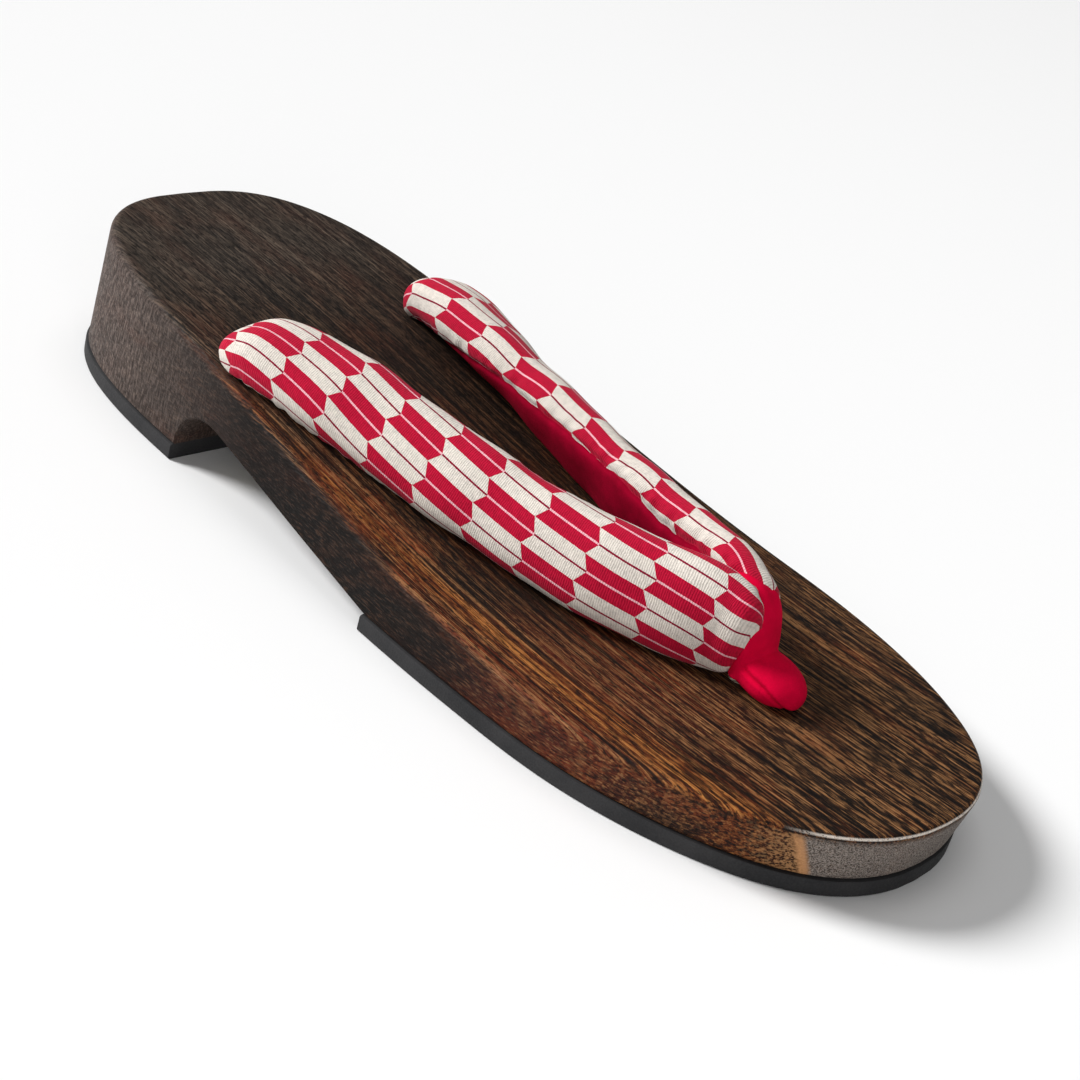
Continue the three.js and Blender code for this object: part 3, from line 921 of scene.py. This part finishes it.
# %% The strap's mesh with two cloths
def strap_half(name, side, cover, lining, shift, bias, stretch):
    """One half as a closed mesh.

    The cloth is laid on by hand: shift moves it along and around in millimetres, bias turns
    it a little off the strap's line, and stretch draws it out.
    """
    points, place = strap_surface(side)
    wide = np.ptp(place[:, :cover_steps, 1], axis=1).max()
    print(name, "cover cloth, mm:", round(place[-1, 0, 0]), "long,", round(wide), "wide")
    rows, columns = points.shape[:2]
    piece = make(name, *closed_tube(points), cover)
    mesh = piece.data
    mesh.materials.append(lining)
    ring = np.arange(columns) >= cover_steps
    cloth = np.concatenate([np.tile(ring, rows - 1), ring, ring]).astype(np.int32)
    mesh.polygons.foreach_set("material_index", cloth)
    place = np.concatenate([place.reshape(-1, 2), place[[0, -1]].mean(axis=1)])
    place = np.column_stack([place[:, 0] * stretch, place[:, 1] - bias * place[:, 0]]) + shift
    corners = np.empty(len(mesh.loops), dtype=np.int32)
    mesh.loops.foreach_get("vertex_index", corners)
    layer = mesh.uv_layers.new(name="cloth_mm")
    layer.data.foreach_set("uv", (place[corners] * MM).ravel())
    tidy(piece)
    return piece


# %% [markdown]
# ## Arrow-feather cloth
# The cover is woven in columns of feathers that point to the toe. Each column has a thin quill
# line down its middle, and the rows end in chevrons; the colours swap from row to row and from
# column to column. All of it follows from the place on the cloth in millimetres: the column
# is a whole number of widths, the row is a whole number of lengths after the chevron's slope
# is added, and the sum of both, odd or even, picks the colour.

# %% The cover cloth
feather_width = 5.85
feather_length = 12.9
chevron = 1.8
quill = 0.20
columns_left = 40


def feather_cloth():
    """Ribbed cotton with a woven arrow-feather pattern, from the UV map in millimetres."""
    cloth = Recipe("arrow-feather cloth", Roughness=0.92, Specular_IOR_Level=0.12)
    cloth.shader.inputs["Sheen Weight"].default_value = 0.06
    cloth.shader.inputs["Sheen Roughness"].default_value = 0.5
    uv = cloth.node("UVMap", uv_map="cloth_mm").outputs[0]
    place = cloth.node("Mapping", {0: uv, "Scale": TO_MM}).outputs[0]
    parts = cloth.node("SeparateXYZ", {0: place}).outputs
    thread = cloth.noise(place, 2.3, 4.0, 0.65)
    fray = cloth.times(cloth.math("SUBTRACT", thread, 0.5), 0.22)
    along = cloth.math("ADD", parts[0], fray)
    across = cloth.math("ADD", cloth.math("ADD", parts[1], fray), columns_left * feather_width)
    column = cloth.math("DIVIDE", across, feather_width)
    from_quill = cloth.from_value(cloth.math("FRACT", column), 0.5)
    slope = cloth.times(from_quill, 2 * chevron)
    row = cloth.math("DIVIDE", cloth.math("ADD", along, slope), feather_length)
    whole = cloth.math("ADD", cloth.math("FLOOR", column), cloth.math("FLOOR", row))
    is_white = cloth.math("MODULO", whole, 2.0)
    line = cloth.math("LESS_THAN", from_quill, quill / feather_width)
    red = cloth.mix(line, rgba("ba0a33"), rgba("efb4bd"))
    white = cloth.mix(line, rgba("e2d9cf"), rgba("8c1032"))
    colour = cloth.mix(is_white, red, white)
    rib = cloth.node(
        "TexWave",
        {"Vector": place, "Scale": 0.66, "Distortion": 3.2, "Detail": 3.0, "Detail Scale": 1.6},
        wave_type="BANDS",
        bands_direction="X",
    ).outputs[1]
    mottle = cloth.noise(place, 0.8, 3.0)
    shade = cloth.math("MULTIPLY_ADD", rib, 0.35, cloth.math("ADD", thread, mottle))
    shade = cloth.spread(shade, 0.86, 1.34, 0.70, 1.0)
    grey = cloth.node("CombineColor", {0: shade, 1: shade, 2: shade}).outputs[0]
    colour = cloth.mix(1.0, colour, grey, "MULTIPLY")
    height = cloth.math("MULTIPLY_ADD", rib, 0.8, thread)
    normal = cloth.bump(height, 0.55, 0.17)
    return cloth.finish(Base_Color=colour, Normal=normal)


cloth_material = feather_cloth()

# %% [markdown]
# ## Velvet
# Velvet is a short dense pile. Looked at straight on it is deep and dark, and along its edges
# it glows, because the pile catches light there. The sheen of the Principled shader does this,
# with a fine noise for the pile.

# %% The velvet


def crimson_velvet(name, light, dark):
    """Short pile: soft mottled colour, no gloss and a wide sheen."""
    velvet = Recipe(name, Roughness=0.95, Specular_IOR_Level=0.05)
    velvet.shader.inputs["Sheen Weight"].default_value = 0.08
    velvet.shader.inputs["Sheen Roughness"].default_value = 0.35
    velvet.shader.inputs["Sheen Tint"].default_value = rgba("ff3050")
    place = velvet.place(TO_MM)
    brushed = velvet.noise(place, 0.22, 3.0)
    pile = velvet.noise(place, 5.0, 2.0)
    colour = velvet.ramp(brushed, [(0.30, dark), (0.70, light)])
    normal = velvet.bump(pile, 0.5, 0.14)
    return velvet.finish(Base_Color=colour, Normal=normal)


lining_material = crimson_velvet("lining velvet", "a2022a", "82021f")
# Painted light: the thong's velvet is lighter than the lining's, to light its front, which faces
# away from the key.
thong_velvet_painted_lighter = crimson_velvet("thong velvet", "de0238", "c80231")

cloths = (cloth_material, lining_material)
left_lay = {"shift": (4.0, 3.2), "bias": 0.034, "stretch": 1.047}
right_lay = {"shift": (19.4, 14.5), "bias": 0.069, "stretch": 1.0}
strap_left = strap_half("strap_left_half", 1, *cloths, **left_lay)
strap_right = strap_half("strap_right_half", -1, *cloths, **right_lay)
for half in (strap_left, strap_right):
    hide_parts("strap")
    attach(half, "root")
    print(half.name, "faces:", len(half.data.polygons))

# %% [markdown]
# ## The toe thong
# The thong is a band of the same velvet, painted lighter than the lining to stand in for light
# on its shaded front. It comes up out of the V, sinks between the two noses of the strap, comes
# down their front, and its end is folded under into a pad that lies on the board. It is a flat
# padded section carried along a short curve in the middle plane.

# %% The thong's band
thong_width = 12.0
thong_thickness = 3.8
crest_rise = join_rise + strap_width / 2
band_at = [0, 1, 2, 3, 4, 5, 6, 7]
band_back = [0.34, 0.22, 0.06, -0.11, -0.24, -0.31, -0.34, -0.34]
band_rise = [0.70, 0.80, 0.85, 0.82, 0.70, 0.53, 0.34, 0.12]
band_turn = [58, 44, 14, -34, -66, -82, -90, -90]
band_wide = [0.60, 0.80, 0.92, 1.00, 1.00, 0.98, 0.98, 0.98]
band_thick = [0.60, 0.95, 1.00, 1.00, 1.00, 1.05, 1.20, 1.30]
fold_length = 3.1
fold_depth = 0.16
fold_step, fold_reach = 2.4, 1.3


def thong_band(rows=120, columns=96):
    """Points of the band, closed at both ends.

    At each step a point is centre + a cos^0.75 sideways + b sin^0.85 outward. Soft lengthwise
    folds are added to the outer face where it is squeezed between the noses.
    """
    step = np.linspace(0, band_at[-1], rows)
    turn = np.linspace(0, 2 * np.pi, columns, endpoint=False)[None]
    y = join_y + curve(band_at, band_back, step) * strap_width
    z = foot_bed(join_y) + curve(band_at, band_rise, step) * crest_rise
    tilt = np.radians(curve(band_at, band_turn, step))
    centre = np.stack([np.zeros(rows), y, z], axis=-1)[:, None]
    outward = np.stack([np.zeros(rows), np.sin(tilt), np.cos(tilt)], axis=-1)[:, None]
    half_a = (curve(band_at, band_wide, step) * thong_width / 2)[:, None]
    half_b = (curve(band_at, band_thick, step) * thong_thickness / 2)[:, None]
    sideways = half_a * bulge(np.cos(turn), 0.75)
    squeezed = np.exp(-(((step - fold_step) / fold_reach) ** 2))[:, None]
    waver = wobble(step, [(3.1, 0.35), (1.7, 0.2)], seed=5)[:, None]
    folds = np.sin(2 * np.pi * (sideways + waver) / fold_length) * fold_depth * squeezed
    depth = half_b * bulge(np.sin(turn), 0.85)
    depth = depth + folds * np.clip(np.sin(turn), 0, 1) ** 0.3
    return closed_tube(centre + sideways[..., None] * (1, 0, 0) + depth[..., None] * outward)


# %% [markdown]
# ## The folded pad
# The pad is the end of the band, folded under and stuffed. It is a flattened round body, and
# the crease of the fold runs down its near side in a slack S, so it is a squashed sphere whose
# radius dips along a curved line.

# %% The thong's pad
pad_size = np.array([14.2, 17.0, 8.5])
pad_forward = 0.63
pad_seat = 0.42
pad_tilt = 10
crease_depth = 0.20
crease_reach = 0.13
crease_high, crease_fall = 0.42, 0.95
crease_from, crease_span = 195, 88
crease_middle, crease_half = 212, 72
under_depth = 0.17
nose_fullness = 0.08


def thong_pad(rows=90, columns=128):
    """Points of the pad: a unit sphere, less the crease, times half the pad's size."""
    polar = np.linspace(0.02, np.pi - 0.02, rows)[:, None]
    turn = np.linspace(0, 2 * np.pi, columns, endpoint=False)[None]
    flat = np.sin(polar) ** 0.85
    x, y, z = flat * np.cos(turn), flat * np.sin(turn), np.cos(polar) * np.ones_like(turn)
    past = np.clip((np.degrees(turn) - crease_from) / crease_span, 0, 1)
    line = crease_high - crease_fall * past**2 * (3 - 2 * past)
    seen = np.exp(-(((np.degrees(turn) - crease_middle) / crease_half) ** 6))
    crease = np.exp(-(((z - line) / crease_reach) ** 2)) * seen
    under = np.clip((line - z) / 0.3, 0, 1) * seen
    radius = 1 - crease_depth * crease - under_depth * under
    fuller = 1 + nose_fullness * np.clip(-y, 0, 1)
    points = np.stack([x * radius * fuller, y * radius, z * radius], axis=-1) * pad_size / 2
    cos, sin = np.cos(np.radians(pad_tilt)), np.sin(np.radians(pad_tilt))
    place_y = join_y - pad_forward * pad_size[1]
    forward = points[..., 1] * cos - points[..., 2] * sin + place_y
    upward = points[..., 1] * sin + points[..., 2] * cos
    upward = upward + foot_bed(place_y) + pad_seat * pad_size[2]
    upward = np.maximum(upward, foot_bed(forward) + clear_of_bed)
    return closed_tube(np.stack([points[..., 0], forward, upward], axis=-1))


# %% [markdown]
# ## One velvet skin
# Band and pad are one cloth. A voxel remesh makes a single skin round both, a few rounds of
# smoothing soften the inner corner where they meet, and the strap's halves are then cut away
# from it, so that the thong fills the crease between the noses and stops at their cloth.

# %% Join the band and the pad
skin_cell = 0.32
skin_weld = 0.03


def joined(name, parts, material):
    """Several closed bodies of (points, faces) as one piece."""
    faces, count = [], 0
    for points, body_faces in parts:
        faces += [[corner + count for corner in face] for face in body_faces]
        count += len(points)
    piece = make(name, np.concatenate([points for points, _ in parts]), faces, material)
    tidy(piece)
    return piece


thong = joined("thong_velvet_band_and_pad", [thong_band(), thong_pad()], thong_velvet_painted_lighter)
skin = thong.modifiers.new("skin", "REMESH")
skin.mode, skin.voxel_size, skin.use_smooth_shade = "VOXEL", skin_cell * MM, True
soften = thong.modifiers.new("soften", "SMOOTH")
soften.factor, soften.iterations = 0.5, 5
apply_modifiers(thong)
for half in (strap_left, strap_right):
    cut_by(thong, half)
tidy(thong, skin_weld * MM)
thong.data.shade_smooth()
while len(thong.data.materials) > 1:
    thong.data.materials.pop()
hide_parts("toe_thong")
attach(thong, "root")
print("thong faces:", len(thong.data.polygons), "materials:", len(thong.data.materials))

# %% [markdown]
# ## Knotted cord ends
# Below the board each cord ends in a knot that can't slip back through its hole. A trefoil is
# the simplest real knot, and its curve is three sines, so a tube along it makes the knot and
# a straight tube makes the stem that goes up through the wood.

# %% Cord and knots
cord_thickness = 3.6
stem_thickness = 5.0
stem_foot = 1.5
knot_height = 6.0


def tube(path, radius, sides=20, closed=False):
    """A round tube along a path: a circle in the plane square to the path at each point."""
    ahead = np.roll(path, -1, axis=0) if closed else np.concatenate([path[1:], path[-1:]])
    behind = np.roll(path, 1, axis=0) if closed else np.concatenate([path[:1], path[:-1]])
    tangent = unit(ahead - behind)
    hint = np.where(np.abs(tangent[:, 2:]) < 0.95, [[0, 0, 1.0]], [[1.0, 0, 0]])
    first = unit(np.cross(tangent, hint))
    second = np.cross(tangent, first)
    turn = np.linspace(0, 2 * np.pi, sides, endpoint=False)
    cos, sin = np.cos(turn)[:, None], np.sin(turn)[:, None]
    points = path[:, None] + radius * (cos * first[:, None] + sin * second[:, None])
    if not closed:
        return closed_tube(points)
    faces = grid_faces(len(path), sides, wrap=True).tolist()
    last = (len(path) - 1) * sides
    faces += [[last + c, last + (c + 1) % sides, (c + 1) % sides, c] for c in range(sides)]
    return points.reshape(-1, 3), faces


def knotted_cord(name, node, material):
    """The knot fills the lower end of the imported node, and the stem rises to its top."""
    low, high = box_mm(node)
    middle = (low + high) / 2
    reach = (high[0] - low[0]) / 2 - cord_thickness / 2
    rise = (knot_height - cord_thickness) / 2
    t = np.linspace(0, 2 * np.pi, 160, endpoint=False)
    x = (np.sin(t) + 2 * np.sin(2 * t)) / 3 * reach
    y = (np.cos(t) - 2 * np.cos(2 * t)) / 3 * reach
    path = np.column_stack([x, y, -np.sin(3 * t) * rise])
    knot = path + (middle[0], middle[1], low[2] + knot_height / 2)
    stem = np.linspace([*middle[:2], low[2] + stem_foot], [*middle[:2], high[2]], 12)
    bodies = [tube(knot, cord_thickness / 2, closed=True), tube(stem, stem_thickness / 2)]
    piece = joined(name, bodies, material)
    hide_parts(node)
    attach(piece, "root")
    return piece


def twisted_cotton():
    """Undyed cotton cord: slanted strands as a wave, and fine fibres as noise."""
    cotton = Recipe("twisted cotton cord", Roughness=0.9, Specular_IOR_Level=0.2)
    place = cotton.place(TO_MM)
    strands = cotton.node(
        "TexWave", {"Vector": place, "Scale": 0.28, "Distortion": 0.8}, bands_direction="DIAGONAL"
    ).outputs[1]
    fibres = cotton.noise(place, 3.0, 3.0)
    colour = cotton.ramp(strands, [(0.1, "8f8674"), (0.6, "cfc6b2")])
    height = cotton.math("ADD", strands, cotton.times(fibres, 0.4))
    return cotton.finish(Base_Color=colour, Normal=cotton.bump(height, 0.7, 0.4))


cord_material = twisted_cotton()
for node in ("rear_cord_left", "rear_cord_right", "front_cord"):
    knotted_cord(node + "_knotted", node, cord_material)

# %% [markdown]
# ## Floor, light and camera
# The sandal stands on a plain pale floor. A sun with a wide disc, behind the heel's near side,
# throws a soft shadow toward the toe and keeps the floor even, which a near lamp would not. A
# wide light from above gives the wood its satin gleam, and a weak one and a pale world fill
# the rest. The camera looks from the photograph's side, a little rolled as the photograph is.

# %% Floor
floor_mesh = bpy.data.meshes.new("floor")
reach = 4.0
corners = [(-reach, -reach, 0), (reach, -reach, 0), (reach, reach, 0), (-reach, reach, 0)]
floor_mesh.from_pydata(corners, [], [(0, 1, 2, 3)])
floor = linked("floor", floor_mesh)
pale = Recipe("pale floor", Roughness=0.9, Base_Color=(0.9, 0.9, 0.9, 1.0))
floor_mesh.materials.append(pale.material)


# %% Light
def aimed(lamp, place):
    """Hangs a lamp at a place in metres, turned to the middle of the sandal."""
    holder = linked(lamp.name, lamp)
    holder.location = place
    holder.rotation_euler = (-Vector(place)).to_track_quat("-Z", "Y").to_euler()


def soft_light(name, place, size, power):
    """A square area light: its size in metres, its power in watts."""
    lamp = bpy.data.lights.new(name, "AREA")
    lamp.shape, lamp.size, lamp.energy = "SQUARE", size, power
    aimed(lamp, place)


key = bpy.data.lights.new("key from behind the heel", "SUN")
key.energy, key.angle = 3.9, np.radians(20)
aimed(key, (-0.60, 1.06, 0.84))
soft_light("wide light from above", (0.1, 0.1, 1.4), 1.0, 4)
soft_light("fill from the toe's left", (-0.9, -1.0, 0.42), 0.9, 6)
world = bpy.data.worlds.new("pale world")
bpy.context.scene.world = world
world.use_nodes = True
world.node_tree.nodes["Background"].inputs[0].default_value = (1, 1, 1, 1)
world.node_tree.nodes["Background"].inputs[1].default_value = 0.15
bpy.context.scene.view_settings.view_transform = "Standard"

# %% Camera
camera_place = Vector((-301.46, -245.92, 218.52)) * MM
camera_right = Vector((0.747113, -0.634241, 0.198899))
camera_ahead = Vector((0.696469, 0.536877, -0.476125)).normalized()
camera_right = (camera_right - camera_right.dot(camera_ahead) * camera_ahead).normalized()
camera_up = camera_right.cross(camera_ahead)
lens = bpy.data.cameras.new("camera")
lens.sensor_width = 36
lens.lens = 69
lens.clip_start, lens.clip_end = 0.01, 20
camera = linked("camera", lens)
turned = Matrix((camera_right, camera_up, -camera_ahead)).transposed()
camera.matrix_world = Matrix.Translation(camera_place) @ turned.to_4x4()
bpy.context.scene.camera = camera
print("camera distance to the sandal, mm:", round(camera_place.length / MM))
